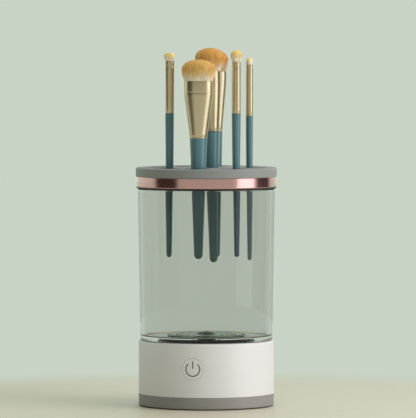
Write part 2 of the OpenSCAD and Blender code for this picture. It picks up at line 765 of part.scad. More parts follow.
module ferrule(b) {
    foot = b[3][1];
    top = b[3][2];
    r0 = b[4][2];
    r1 = b[5][0];
    crimp_z = top - b[5][2];
    color(gold) in_slot(b) {
        if (is_round(b)) rotate_extrude() polygon([
            [r0 - ferrule_t, foot], [r0, foot], [r1, crimp_z - 0.5], [r1 - crimp_t, crimp_z - 0.2],
            [r1 - crimp_t, crimp_z + 0.2], [r1, crimp_z + 0.5], [r1, top], [r1 - ferrule_t, top],
            [r1 - ferrule_t - crimp_t, crimp_z]]);
        else difference() {
            oval_taper(b, 0, 0);
            oval_taper(b, ferrule_t, 0.2);
        }
    }
}

// Head of a brush: an oval bundle that opens out of the ferrule and ends in a dome.
module bristles(b) {
    inset = ferrule_t + crimp_t + 0.1;
    head = b[6];
    top = b[3][2];
    dome_z = b[3][3] - head[2];
    color(amber) in_slot(b) {
        if (is_round(b)) rotate_extrude() polygon(concat(
            [[0, top - root], [b[5][0] - inset, top - root], [b[5][0] - inset, top + snug]],
            [for (a = [0:10:90]) [head[0] * cos(a), dome_z + head[2] * sin(a)]]));
        else {
            hull() {
                oval(b[5][0] - inset, b[5][1] - inset, top - root);
                oval(b[5][0] - inset, b[5][1] - inset, top + eps);
            }
            hull() {
                oval(b[5][0] - inset, b[5][1] - inset, top + snug);
                intersection() {
                    translate([0, 0, dome_z]) scale(head) sphere(r = 1, $fn = coarse);
                    translate([0, 0, top + eps]) cylinder(r = 20, h = 50, $fn = coarse);
                }
            }
        }
    }
}

base_housing();
base_cover();
foot_pads();
cover_screws();
deck_plate();
deck_seal();
deck_screws();
motor_can();
motor_magnets();
motor_end_cap();
motor_screws();
shaft_seal();
battery_cell();
battery_cradle();
main_board();
board_parts();
board_screws();
usb_socket();
switch_board();
switch_body();
motor_leads();
battery_leads();
switch_leads();
power_button();
power_icon();
switch_plunger();
motor_shaft();
motor_armature();
drive_coupler();
cup();
cup_bush();
cup_shaft_seal();
rotor_shaft();
driven_coupler();
wash_rotor();
rotor_hub();
rotor_clip();
lid_frame();
trim_ring();
silicone_top();
lid_gasket();
handle(BRUSHES[0]);  // handle_1
ferrule(BRUSHES[0]);  // ferrule_1
bristles(BRUSHES[0]);  // bristles_1
handle(BRUSHES[1]);  // handle_2
ferrule(BRUSHES[1]);  // ferrule_2
bristles(BRUSHES[1]);  // bristles_2
handle(BRUSHES[2]);  // handle_3
ferrule(BRUSHES[2]);  // ferrule_3
bristles(BRUSHES[2]);  // bristles_3
handle(BRUSHES[3]);  // handle_4
ferrule(BRUSHES[3]);  // ferrule_4
bristles(BRUSHES[3]);  // bristles_4
handle(BRUSHES[4]);  // handle_5
ferrule(BRUSHES[4]);  // ferrule_5
bristles(BRUSHES[4]);  // bristles_5
handle(BRUSHES[5]);  // handle_6
ferrule(BRUSHES[5]);  // ferrule_6
bristles(BRUSHES[5]);  // bristles_6
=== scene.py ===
"""Looks of the electric make-up brush cleaner: materials, remodelled pieces, light and camera."""
import json
import math
import random

import bmesh
import bpy
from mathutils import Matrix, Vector


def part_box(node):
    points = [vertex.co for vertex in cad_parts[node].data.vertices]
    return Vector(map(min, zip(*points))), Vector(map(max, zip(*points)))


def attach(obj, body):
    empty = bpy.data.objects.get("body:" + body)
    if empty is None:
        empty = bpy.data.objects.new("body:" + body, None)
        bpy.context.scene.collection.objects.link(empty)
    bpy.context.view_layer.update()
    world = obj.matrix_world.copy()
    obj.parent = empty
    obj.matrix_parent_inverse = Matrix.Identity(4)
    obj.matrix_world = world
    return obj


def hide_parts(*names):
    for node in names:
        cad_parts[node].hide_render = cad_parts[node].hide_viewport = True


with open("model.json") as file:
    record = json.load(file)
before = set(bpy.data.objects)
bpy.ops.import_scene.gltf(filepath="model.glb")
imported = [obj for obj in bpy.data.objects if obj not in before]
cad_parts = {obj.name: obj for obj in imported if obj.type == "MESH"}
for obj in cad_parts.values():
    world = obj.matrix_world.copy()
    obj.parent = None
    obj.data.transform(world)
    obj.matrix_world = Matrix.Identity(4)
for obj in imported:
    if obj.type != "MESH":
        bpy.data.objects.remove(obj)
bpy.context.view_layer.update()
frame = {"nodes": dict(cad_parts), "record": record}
nodes = frame["nodes"]
slot_of = {part["node"]: part["material_slot"] for part in frame["record"]["subparts"]}

MM = 0.001
TURN = 2 * math.pi
HOLD = 0.12 * MM  # a ring of points this close to a rounded edge keeps the flat beside it flat
TINY = 1e-7  # points closer than this are one point, and a smaller radius is on the axis


# ---- numbers taken from the frame ----

def top(node):
    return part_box(node)[1].z


def bottom(node):
    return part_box(node)[0].z


def radius(node):
    low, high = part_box(node)
    return (high.x - low.x) / 2


LID_TOP = top("silicone_top")
PLATE_TOP = top("lid_frame")

SLOTS = 8  # in the ring; a ninth slot is in the middle
CENTRE = -1  # the middle slot's number
SLOT_RING = 32 * MM
SLOT_R = 9 * MM


def slot_at(number):
    """Centre of a slot: slot 0 faces -Y and the count goes towards +X."""
    if number == CENTRE:
        return Vector((0, 0, 0))
    a = TURN * number / SLOTS
    return Vector((SLOT_RING * math.sin(a), -SLOT_RING * math.cos(a), 0))


# One row per brush, lengths in millimetres:
#   slot, shift from its centre, lean in degrees
#   handle: radius near the tip, at the lid and at the ferrule
#   ferrule: half width and half depth at its top, height of the band above the crimp line
#   head: half width, half depth, height of the dome, power of the dome's curve (2 is an ellipse),
#         colour from 0 pale to 1 deep
#   hairs: their number; tones: darkest and brightest hair; pale: share of the head that is pale
BRUSHES = {
    "1": dict(slot=7, shift=(2.3, 0.5), lean=0, handle=(1.7, 2.55, 2.9), ferrule=(3.1, 2.6, 3.2),
              head=(3.75, 2.5, 1.9, 3.0, 0.0), hairs=620, tones=(0.38, 0.95), pale=0.3),
    "2": dict(slot=0, shift=(1.2, 0.2), lean=0, handle=(2.8, 4.95, 5.8), ferrule=(9.7, 7.2, 7.3),
              head=(11.3, 8.4, 7.0, 2.3, 0.4), hairs=3600, tones=(0.06, 1.0), pale=0.14),
    "3": dict(slot=CENTRE, shift=(3.6, 0.8), lean=-1.15,
              handle=(2.7, 4.5, 5.6), ferrule=(7.3, 6.6, 7.4),
              head=(10.1, 8.4, 7.0, 2.15, 0.62), hairs=3000, tones=(0.06, 1.0), pale=0.14),
    # brush 4's hairs are held to the dark tones 0 to 0.3: partly a deeper dye, partly painted shade
    # for a head that stands behind brush 3
    "4": dict(slot=4, shift=(0.6, 0), lean=0, handle=(2.4, 3.5, 3.9), ferrule=(6.9, 5.8, 6),
              head=(8.1, 6.9, 6.0, 2.1, 0.85), hairs=1500, tones=(0.0, 0.3), pale=0.12),
    "5": dict(slot=1, shift=(2, 0.5), lean=0, handle=(1.6, 2.5, 3), ferrule=(3, 3, 3.3),
              head=(3.95, 3.9, 3.3, 2.4, 0.15), hairs=760, tones=(0.38, 0.95), pale=0.3),
    "6": dict(slot=2, shift=(-2.7, -0.5), lean=0,
              handle=(1.4, 2.15, 2.4), ferrule=(2.35, 2.35, 2.8),
              head=(2.45, 2.4, 3.6, 2.0, 0.05), hairs=460, tones=(0.38, 0.95), pale=0.3),
}


def leaned(row, points):
    """Points drawn about the Z axis, moved into the brush's slot and leaned about the lid's top."""
    at = slot_at(row["slot"]) + Vector((row["shift"][0] * MM, row["shift"][1] * MM, LID_TOP))
    lean = math.radians(row["lean"])
    c, s = math.cos(lean), math.sin(lean)
    out = []
    for x, y, z in points:
        h = z - LID_TOP
        out.append((at.x + x * c + h * s, at.y + y, at.z - x * s + h * c))
    return out


# ---- shader nodes ----

NOISE_LOW, NOISE_HIGH = 0.3, 0.7  # nearly all of a noise's values lie between these
TONE = "tone"  # the attribute that holds a hair's own tone


def material(name):
    """A material with a Principled shader on its output."""
    mat = bpy.data.materials.new(name)
    mat.use_nodes = True
    tree = mat.node_tree
    tree.nodes.clear()
    out = tree.nodes.new("ShaderNodeOutputMaterial")
    bsdf = tree.nodes.new("ShaderNodeBsdfPrincipled")
    tree.links.new(bsdf.outputs["BSDF"], out.inputs["Surface"])
    return mat, tree, bsdf


def shown(tree, shader):
    """Puts another shader on the material's output."""
    out = next(node for node in tree.nodes if node.type == "OUTPUT_MATERIAL")
    tree.links.new(shader, out.inputs["Surface"])


def object_space(tree, stretch=(1, 1, 1)):
    coords = tree.nodes.new("ShaderNodeTexCoord")
    mapping = tree.nodes.new("ShaderNodeMapping")
    mapping.inputs["Scale"].default_value = stretch
    tree.links.new(coords.outputs["Object"], mapping.inputs["Vector"])
    return mapping.outputs["Vector"]


def noise_of(tree, vector, scale, detail=3.0, roughness=0.5):
    noise = tree.nodes.new("ShaderNodeTexNoise")
    noise.inputs["Scale"].default_value = scale
    noise.inputs["Detail"].default_value = detail
    noise.inputs["Roughness"].default_value = roughness
    tree.links.new(vector, noise.inputs["Vector"])
    return noise.outputs["Fac"]


def ramp_of(tree, fac, stops):
    ramp = tree.nodes.new("ShaderNodeValToRGB")
    elements = ramp.color_ramp.elements
    while len(elements) < len(stops):
        elements.new(0.5)
    for element, (place, colour) in zip(elements, stops):
        element.position = place
        element.color = (*colour, 1)
    tree.links.new(fac, ramp.inputs["Fac"])
    return ramp.outputs["Color"]


def map_of(tree, value, low, high, from_low=0.0, from_high=1.0):
    node = tree.nodes.new("ShaderNodeMapRange")
    node.inputs["From Min"].default_value = from_low
    node.inputs["From Max"].default_value = from_high
    node.inputs["To Min"].default_value = low
    node.inputs["To Max"].default_value = high
    tree.links.new(value, node.inputs["Value"])
    return node.outputs["Result"]


def math_of(tree, operation, *values):
    """A Math node; each value is a socket or a number."""
    node = tree.nodes.new("ShaderNodeMath")
    node.operation = operation
    for socket, value in zip(node.inputs, values):
        if isinstance(value, float):
            socket.default_value = value
        else:
            tree.links.new(value, socket)
    return node.outputs[0]


def multiplied(tree, one, other, share):
    """Two colours multiplied; share 0 leaves the first as it is."""
    node = tree.nodes.new("ShaderNodeMix")
    node.data_type = "RGBA"
    node.blend_type = "MULTIPLY"
    node.inputs["Factor"].default_value = share
    tree.links.new(one, node.inputs["A"])
    tree.links.new(other, node.inputs["B"])
    return node.outputs["Result"]


def bump_of(tree, bsdf, heights, strength, distance):
    bump = tree.nodes.new("ShaderNodeBump")
    bump.inputs["Strength"].default_value = strength
    bump.inputs["Distance"].default_value = distance
    tree.links.new(heights, bump.inputs["Height"])
    tree.links.new(bump.outputs["Normal"], bsdf.inputs["Normal"])


def shade(colour, factor):
    return tuple(min(1.0, c * factor) for c in colour)


def mottled(tree, bsdf, noise, colour, low, high):
    """Base colour that goes from low to high times the colour as the noise rises."""
    stops = [(NOISE_LOW, shade(colour, low)), (NOISE_HIGH, shade(colour, high))]
    tree.links.new(ramp_of(tree, noise, stops), bsdf.inputs["Base Color"])


def uneven(tree, bsdf, noise, low, high, from_low=NOISE_LOW, from_high=NOISE_HIGH):
    """Roughness that goes from low to high as the noise rises."""
    tree.links.new(map_of(tree, noise, low, high, from_low, from_high), bsdf.inputs["Roughness"])


def glow_of(tree, colour, strength=1.0):
    glow = tree.nodes.new("ShaderNodeEmission")
    glow.inputs["Color"].default_value = (*colour, 1)
    glow.inputs["Strength"].default_value = strength
    return glow.outputs["Emission"]


def mixed(tree, fac, one, other):
    """Two shaders mixed; fac 0 is the first alone."""
    mix = tree.nodes.new("ShaderNodeMixShader")
    tree.links.new(fac, mix.inputs["Fac"])
    tree.links.new(one, mix.inputs[1])
    tree.links.new(other, mix.inputs[2])
    return mix.outputs["Shader"]


# ---- materials: noise scales are per metre ----

def moulded(name, colour, rough, grain=2200, mottle=0.04, grain_depth=0.02, coat=0.0, sheen=0.0):
    """Moulded plastic or rubber: faint colour mottle, fine spark-eroded grain, uneven gloss."""
    mat, tree, bsdf = material(name)
    space = object_space(tree)
    broad = noise_of(tree, space, 38, 4.0, 0.6)
    fine = noise_of(tree, space, grain, 2.0, 0.6)
    mottled(tree, bsdf, broad, colour, 1 - mottle, 1 + mottle)
    uneven(tree, bsdf, broad, rough - 0.05, rough + 0.05)
    bump_of(tree, bsdf, fine, 0.35, grain_depth * MM)
    bsdf.inputs["Coat Weight"].default_value = coat
    bsdf.inputs["Coat Roughness"].default_value = 0.25
    bsdf.inputs["Sheen Weight"].default_value = sheen
    return mat


def metal(name, colour, rough, brushed, mottle=0.03, stretch=(1, 1, 0.02), lines_per_m=900):
    """Plated or machined metal: slight waviness, drawn scratches along one way, uneven gloss."""
    mat, tree, bsdf = material(name)
    lines = noise_of(tree, object_space(tree, stretch), lines_per_m, 3.0, 0.6)
    wave = noise_of(tree, object_space(tree), 60, 2.0, 0.5)
    mottled(tree, bsdf, wave, colour, 1 - mottle, 1 + mottle)
    uneven(tree, bsdf, lines, rough - 0.03, rough + 0.05)
    bump_of(tree, bsdf, lines, brushed, 9 * MM / lines_per_m)
    bsdf.inputs["Metallic"].default_value = 1.0
    return mat


def clear(name, colour, rough):
    """Clear moulded plastic with faint flow lines; the dim specular tint keeps haze off it."""
    mat, tree, bsdf = material(name)
    flow = noise_of(tree, object_space(tree, (1, 1, 0.3)), 28, 2.0, 0.4)
    uneven(tree, bsdf, flow, rough, rough + 0.02, 0.35, 0.65)
    bump_of(tree, bsdf, flow, 0.12, 0.05 * MM)
    bsdf.inputs["Base Color"].default_value = (*colour, 1)
    bsdf.inputs["Transmission Weight"].default_value = 1.0
    bsdf.inputs["IOR"].default_value = 1.49
    bsdf.inputs["Specular Tint"].default_value = (0.35, 0.35, 0.35, 1)
    return mat


def lacquer(name, colour):
    """Satin lacquer over a turned wooden handle: long soft grain under it, a light orange-peel."""
    mat, tree, bsdf = material(name)
    grain = noise_of(tree, object_space(tree, (1, 1, 0.06)), 700, 4.0, 0.6)
    peel = noise_of(tree, object_space(tree), 900, 2.0, 0.5)
    mottled(tree, bsdf, grain, colour, 0.9, 1.08)
    uneven(tree, bsdf, grain, 0.30, 0.38)
    bump_of(tree, bsdf, peel, 0.1, 0.004 * MM)
    bsdf.inputs["Coat Weight"].default_value = 0.4
    bsdf.inputs["Coat Roughness"].default_value = 0.22
    return mat


AMBER_AT, TIP_AT = 0.28, 0.62  # how far above the pale part amber and the tip's colour start
STREAK_REACH, TONE_REACH = 0.2, 0.22  # how far streaks and own tones shift those places
# the streaks darken the hairs in thin lines: partly darker strands, partly painted shade in the
# gaps between strands
STRAND_AND_GAP_SHADE_STOPS = [(0.31, (0.52, 0.38, 0.20)), (0.42, (1, 1, 1))]
TONE_STOPS = [(0.0, (0.40, 0.25, 0.10)), (0.22, (0.74, 0.60, 0.40)),
              (0.42, (1, 1, 1)), (1.0, (1.0, 1.0, 0.95))]


def hair(name, z_low, z_high, deep, pale_to):
    """Dyed filament: pale at the ferrule, amber to orange at the tips; each hair has its tone."""
    mat, tree, bsdf = material(name)
    coords = tree.nodes.new("ShaderNodeTexCoord")
    split = tree.nodes.new("ShaderNodeSeparateXYZ")
    tree.links.new(coords.outputs["Object"], split.inputs["Vector"])
    height = map_of(tree, split.outputs["Z"], 0.0, 1.0, z_low, z_high)
    tone = tree.nodes.new("ShaderNodeAttribute")
    tone.attribute_name = TONE
    streak = noise_of(tree, object_space(tree, (1, 1, 0.12)), 1500, 3.0, 0.7)
    wander = map_of(tree, streak, -STREAK_REACH, STREAK_REACH, 0.25, 0.75)
    own = map_of(tree, tone.outputs["Fac"], -TONE_REACH, TONE_REACH)
    place = math_of(tree, "ADD", math_of(tree, "ADD", height, wander), own)
    pale = (1.0, 0.89, 0.75)
    amber = (1.0 - 0.06 * deep, 0.84 - 0.36 * deep, 0.36 - 0.28 * deep)
    tip = (1.0 - 0.26 * deep, 0.77 - 0.51 * deep, 0.22 - 0.20 * deep)
    stops = [(pale_to, pale), (pale_to + AMBER_AT, amber), (pale_to + TIP_AT, tip)]
    colours = ramp_of(tree, place, stops)
    # partly painted shade: dark streaks for the gaps between strands
    colours = multiplied(tree, colours, ramp_of(tree, streak, STRAND_AND_GAP_SHADE_STOPS), 0.45)
    colours = multiplied(tree, colours, ramp_of(tree, tone.outputs["Fac"], TONE_STOPS), 0.7)
    tree.links.new(colours, bsdf.inputs["Base Color"])
    bump_of(tree, bsdf, streak, 0.4, 0.05 * MM)
    bsdf.inputs["Roughness"].default_value = 0.55
    bsdf.inputs["Sheen Weight"].default_value = 0.4
    bsdf.inputs["Sheen Tint"].default_value = (1.0, 0.84, 0.5, 1)
    return mat


def windings(name, colour):
    """Enamelled wire in tight turns, with painted shade in the grooves between them."""
    mat, tree, bsdf = material(name)
    wave = tree.nodes.new("ShaderNodeTexWave")
    wave.bands_direction = "Z"
    wave.inputs["Scale"].default_value = 700
    wave.inputs["Distortion"].default_value = 1.0
    tree.links.new(object_space(tree), wave.inputs["Vector"])
    turns = wave.outputs["Fac"]
    # painted shade: the colour falls to half in the grooves between turns, where the bump sinks
    tree.links.new(ramp_of(tree, turns, [(0.1, shade(colour, 0.5)), (0.8, colour)]),
                   bsdf.inputs["Base Color"])
    bump_of(tree, bsdf, turns, 0.6, 0.1 * MM)
    bsdf.inputs["Metallic"].default_value = 1.0
    bsdf.inputs["Roughness"].default_value = 0.3
    return mat


def board(name, colour):
    """Circuit board: solder mask over copper tracks."""
    mat, tree, bsdf = material(name)
    tracks = tree.nodes.new("ShaderNodeTexBrick")
    tracks.inputs["Scale"].default_value = 260
    tracks.inputs["Mortar Size"].default_value = 0.05
    tracks.inputs["Color1"].default_value = (*colour, 1)
    tracks.inputs["Color2"].default_value = (*shade(colour, 0.8), 1)
    tracks.inputs["Mortar"].default_value = (*shade(colour, 2.0), 1)
    tree.links.new(object_space(tree), tracks.inputs["Vector"])
    tree.links.new(tracks.outputs["Color"], bsdf.inputs["Base Color"])
    bump_of(tree, bsdf, tracks.outputs["Fac"], 0.2, 0.05 * MM)
    bsdf.inputs["Roughness"].default_value = 0.3
    bsdf.inputs["Coat Weight"].default_value = 0.5
    return mat


# material slot: the function that makes it, its colour and its other values
RECIPES = {
    "white_plastic": (moulded, (0.80, 0.80, 0.785),
                      dict(rough=0.42, mottle=0.012, grain_depth=0.012, coat=0.12)),
    "grey_plastic": (moulded, (0.30, 0.29, 0.27), dict(rough=0.5, grain=1800, grain_depth=0.03)),
    "dark_plastic": (moulded, (0.022, 0.024, 0.024), dict(rough=0.4, mottle=0.1)),
    "charcoal_plastic": (moulded, (0.035, 0.036, 0.034), dict(rough=0.45, mottle=0.1)),
    "grey_silicone": (moulded, (0.258, 0.262, 0.25),
                      dict(rough=0.62, grain=1500, mottle=0.03, grain_depth=0.04, sheen=0.08)),
    "black_rubber": (moulded, (0.018, 0.017, 0.016), dict(rough=0.55, mottle=0.12)),
    "white_silicone": (moulded, (0.74, 0.75, 0.72), dict(rough=0.5, grain=1500, mottle=0.03)),
    "clear_cup": (clear, (0.822, 0.824, 0.81), dict(rough=0.0)),
    "clear_rotor": (clear, (0.84, 0.88, 0.86), dict(rough=0.08)),
    "rose_gold": (metal, (0.70, 0.40, 0.375),
                  dict(rough=0.17, brushed=0.03, stretch=(0.02, 0.02, 1))),
    "steel": (metal, (0.62, 0.62, 0.63), dict(rough=0.3, brushed=0.15)),
    "copper": (windings, (0.80, 0.42, 0.22), {}),
    "magnet": (moulded, (0.05, 0.05, 0.055),
               dict(rough=0.5, mottle=0.25, grain=900, grain_depth=0.05)),
    "circuit_board": (board, (0.02, 0.14, 0.06), {}),
    "chip_black": (moulded, (0.012, 0.012, 0.013), dict(rough=0.45, mottle=0.1)),
    "cell_blue": (moulded, (0.05, 0.16, 0.36), dict(rough=0.25, coat=0.4)),
    "wire_insulation": (moulded, (0.42, 0.02, 0.015), dict(rough=0.4, mottle=0.06)),
    "icon_black": (moulded, (0.085, 0.085, 0.072), dict(rough=0.45, mottle=0.15)),
    "teal_lacquer": (lacquer, (0.078, 0.185, 0.205), {}),
    "champagne_gold": (metal, (0.70, 0.55, 0.365),
                       dict(rough=0.30, brushed=0.02, lines_per_m=5000)),
}
LOOKS = {slot: make(slot, colour, **values) for slot, (make, colour, values) in RECIPES.items()}


def dress(obj, look):
    obj.data.materials.clear()
    obj.data.materials.append(look)


for node, obj in nodes.items():
    if slot_of[node] in LOOKS:
        dress(obj, LOOKS[slot_of[node]])


# ---- mesh helpers ----

def finish_piece(name, verts, faces, body, slot, sharp, replaced, look=None, tones=None):
    """Makes a piece in place of CAD nodes; tones, if given, holds 0 to 1 for each vertex."""
    mesh = bpy.data.meshes.new(name)
    mesh.from_pydata([tuple(v) for v in verts], [], faces)
    if tones:
        mesh.attributes.new(TONE, "FLOAT", "POINT").data.foreach_set("value", tones)
    mesh.validate()
    bm = bmesh.new()
    bm.from_mesh(mesh)
    bmesh.ops.remove_doubles(bm, verts=bm.verts, dist=TINY)
    bmesh.ops.recalc_face_normals(bm, faces=bm.faces)
    bm.to_mesh(mesh)
    bm.free()
    mesh.shade_smooth()
    mesh.set_sharp_from_angle(angle=math.radians(sharp))
    obj = bpy.data.objects.new(name, mesh)
    bpy.context.scene.collection.objects.link(obj)
    dress(obj, look or LOOKS[slot])
    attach(obj, body)
    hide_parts(*replaced)


def arc(cx, cz, r, a0, a1, n=6):
    """Points (radius, height) of an arc about (cx, cz), angles in degrees."""
    out = []
    for i in range(n + 1):
        a = math.radians(a0 + (a1 - a0) * i / n)
        out.append((cx + r * math.cos(a), cz + r * math.sin(a)))
    return out


def ring_points(cx, cy, r, z, segments):
    return [(cx + r * math.cos(TURN * i / segments), cy + r * math.sin(TURN * i / segments), z)
            for i in range(segments)]


def lathe(profile, segments, closed=False):
    """Turned surface from (radius, height) points; closed joins the last point to the first."""
    verts, faces, rings = [], [], []
    for r, z in profile:
        if r < TINY:
            rings.append([len(verts)])
            verts.append((0, 0, z))
        else:
            rings.append(list(range(len(verts), len(verts) + segments)))
            verts += ring_points(0, 0, r, z, segments)
    pairs = list(zip(rings, rings[1:])) + ([(rings[-1], rings[0])] if closed else [])
    for a, b in pairs:
        for i in range(segments):
            j = (i + 1) % segments
            if len(a) == 1 and len(b) == 1:
                continue
            if len(a) == 1:
                faces.append((a[0], b[j], b[i]))
            elif len(b) == 1:
                faces.append((a[i], a[j], b[0]))
            else:
                faces.append((a[i], a[j], b[j], b[i]))
    return verts, faces


def tube_faces(rings, segments):
    """Faces between rings of points that follow one another in the list of vertices."""
    faces = []
    for k in range(rings - 1):
        for i in range(segments):
            j = (i + 1) % segments
            faces.append((k * segments + i, k * segments + j,
                          (k + 1) * segments + j, (k + 1) * segments + i))
    return faces


def joined(parts):
    """Several (vertices, faces) lists as one."""
    verts, faces = [], []
    for more, polygons in parts:
        base = len(verts)
        verts += more
        faces += [tuple(base + i for i in p) for p in polygons]
    return verts, faces


def moved(part, at):
    verts, faces = part
    return [(x + at.x, y + at.y, z) for x, y, z in verts], faces


def thick(verts, faces, depth):
    """Gives a sheet a thickness below it, with closed edges."""
    bm = bmesh.new()
    points = [bm.verts.new(v) for v in verts]
    for f in faces:
        bm.faces.new([points[i] for i in f])
    bmesh.ops.recalc_face_normals(bm, faces=bm.faces)
    bm.normal_update()
    if sum(f.normal.z for f in bm.faces) < 0:
        bmesh.ops.reverse_faces(bm, faces=bm.faces)
        bm.normal_update()
    bm.verts.index_update()
    count = len(bm.verts)
    out = [tuple(v.co) for v in bm.verts] + [tuple(v.co - v.normal * depth) for v in bm.verts]
    polygons = [tuple(v.index for v in f.verts) for f in bm.faces]
    under = [tuple(count + i for i in reversed(p)) for p in polygons]
    sides = []
    for e in bm.edges:
        if len(e.link_faces) == 1:
            a, b = e.verts[0].index, e.verts[1].index
            sides.append((a, b, count + b, count + a))
    bm.free()
    return out, polygons + under + sides


# ---- cup ----

def make_cup():
    """Clear cup: a slightly flared wall, a shoulder and neck for the lid, and a hollow foot."""
    foot_z, low_r = bottom("cup"), 43.9 * MM
    wide_r, neck_r = radius("cup"), 44 * MM
    shoulder, rim = bottom("lid_gasket") - 0.2 * MM, top("cup")
    recess_z, recess_r = top("deck_plate") + 0.2 * MM, 32.5 * MM
    floor_z, bush_r = bottom("wash_rotor") - 0.3 * MM, 6.32 * MM
    inner_top, inner_foot = wide_r - 3.1 * MM, low_r - 2.7 * MM
    edge, rim_out, rim_in, fillet = 0.5 * MM, 0.6 * MM, 0.4 * MM, 1.0 * MM
    profile = [(bush_r, recess_z), (recess_r, recess_z), (recess_r + 0.05 * MM, foot_z)]
    profile += [(low_r - edge - HOLD, foot_z)] + arc(low_r - edge, foot_z + edge, edge, -90, 0)
    steps = 12
    wall_low, wall_high = foot_z + 2 * edge, shoulder - 2 * edge
    for i in range(steps + 1):
        t = i / steps
        profile.append((low_r + (wide_r - low_r) * t, wall_low + (wall_high - wall_low) * t))
    profile += arc(wide_r - edge, shoulder - edge, edge, 0, 90)
    profile += [(neck_r, shoulder)]
    profile += arc(neck_r - rim_out, rim - rim_out, rim_out, 0, 90)
    profile += arc(inner_top + rim_in, rim - rim_in, rim_in, 90, 180)
    profile += [(inner_top, rim - rim_in - HOLD), (inner_foot, floor_z + fillet + HOLD)]
    profile += arc(inner_foot - fillet, floor_z + fillet, fillet, 0, -90, 10)
    profile += [(inner_foot - fillet - HOLD, floor_z), (bush_r, floor_z)]
    verts, faces = lathe(profile, 224, closed=True)
    finish_piece("clear_cup_wall", verts, faces, "cup", "clear_cup", 50, ["cup"])


# ---- lid ----

def make_trim():
    """Metallic ring round the lid, rounded at its edges."""
    outer, low, high = radius("trim_ring"), bottom("trim_ring"), top("trim_ring")
    inner, low_edge, high_edge = outer - 1.3 * MM, 0.5 * MM, 0.3 * MM
    ring = [(inner, low)] + arc(outer - low_edge, low + low_edge, low_edge, -90, 0)
    ring += [(outer, low + low_edge + HOLD), (outer, high - high_edge - HOLD)]
    ring += arc(outer - high_edge, high - high_edge, high_edge, 0, 90) + [(inner, high)]
    verts, faces = lathe(ring, 288, closed=True)
    finish_piece("trim_band", verts, faces, "lid", "rose_gold", 60, ["trim_ring"])


def make_gasket():
    """Dark sealing line under the trim ring."""
    low, high, outer = bottom("lid_gasket"), top("lid_gasket"), radius("lid_gasket")
    inner, edge = outer - 1.9 * MM, 0.3 * MM
    lip = [(inner, low)] + arc(outer - edge, low + edge, edge, -90, 0, 4)
    lip += [(outer, high), (inner, high)]
    verts, faces = lathe(lip, 192, closed=True)
    finish_piece("lid_gasket_ring", verts, faces, "lid", "black_rubber", 50, ["lid_gasket"])


HOLE_ROUND = 0.5 * MM
HOLE_LIP = 0.6 * MM  # how far the cap's underside shows round a slot
HOLE_SEGMENTS = 72
RIM_SEGMENTS = 240
EDGE_ROUND = 1.0 * MM
SKIRT_T = 1.25 * MM  # the skirt over the trim ring
SKIRT_CHAMFER = 0.15 * MM
LANDING = 4 * MM  # how far in from the rim the cap's underside lies on the lid's frame


def flat_top(rim_r, hole_r):
    """The cap's flat top: a disc with nine round openings."""
    bm = bmesh.new()
    loops = [ring_points(0, 0, rim_r, LID_TOP, RIM_SEGMENTS)]
    for number in range(CENTRE, SLOTS):
        at = slot_at(number)
        loops.append(ring_points(at.x, at.y, hole_r, LID_TOP, HOLE_SEGMENTS))
    for loop in loops:
        points = [bm.verts.new(p) for p in loop]
        for a, b in zip(points, points[1:] + points[:1]):
            bm.edges.new((a, b))
    bmesh.ops.triangle_fill(bm, use_beauty=True, edges=bm.edges[:], normal=(0, 0, 1))
    bm.verts.index_update()
    part = [tuple(v.co) for v in bm.verts], [tuple(v.index for v in f.verts) for f in bm.faces]
    bm.free()
    return part


def silicone_plate():
    """Silicone cap: flat top, rounded rim with its skirt, and a rounded edge and wall per slot."""
    outer, low = radius("silicone_top"), bottom("silicone_top")
    rim_r, hole_r = outer - EDGE_ROUND - HOLD, SLOT_R + HOLE_ROUND + HOLD
    rim = [(rim_r, LID_TOP)]
    rim += arc(outer - EDGE_ROUND, LID_TOP - EDGE_ROUND, EDGE_ROUND, 90, 0, 8)
    rim += [(outer, LID_TOP - EDGE_ROUND - HOLD), (outer, low + SKIRT_CHAMFER),
            (outer - SKIRT_CHAMFER, low), (outer - SKIRT_T, low),
            (outer - SKIRT_T, PLATE_TOP), (outer - LANDING, PLATE_TOP)]
    hole = [(hole_r, LID_TOP)]
    hole += arc(SLOT_R + HOLE_ROUND, LID_TOP - HOLE_ROUND, HOLE_ROUND, 90, 180, 5)
    hole += [(SLOT_R, PLATE_TOP + 0.05 * MM), (SLOT_R + HOLE_LIP, PLATE_TOP + 0.02 * MM)]
    parts = [flat_top(rim_r, hole_r), lathe(rim, RIM_SEGMENTS)]
    for number in range(CENTRE, SLOTS):
        parts.append(moved(lathe(hole, HOLE_SEGMENTS), slot_at(number)))
    return parts


PETALS = 6
PETAL_T = 1.1 * MM
PETAL_Z = LID_TOP - 1.1 * MM
PETAL_TURN = math.radians(30)  # where the first petal of each slot points
SLIT = 0.3 * MM  # gap between two petals
SHUT_R = 1.1 * MM  # how close to an empty slot's centre its petals are taken to reach
BEND_SHARE = 0.8  # share of a petal's way to the handle that its bend takes


def reach(angle, row):
    """Distance from a slot's centre, along a ray, to the far side of the handle standing in it."""
    if row is None:
        return SHUT_R
    sx, sy = row["shift"][0] * MM, row["shift"][1] * MM
    r = row["handle"][1] * MM
    total, count = 0.0, 0
    for turn in range(-2, 3):
        a = angle + math.radians(4 * turn)
        along = sx * math.cos(a) + sy * math.sin(a)
        across = sx * math.sin(a) - sy * math.cos(a)
        inside = r * r - across * across
        far = along + math.sqrt(inside) if inside > 0 else 0.0
        total += max(far, 0.8 * MM)
        count += 1
    return min(total / count + 0.2 * MM, SLOT_R - 0.35 * MM)


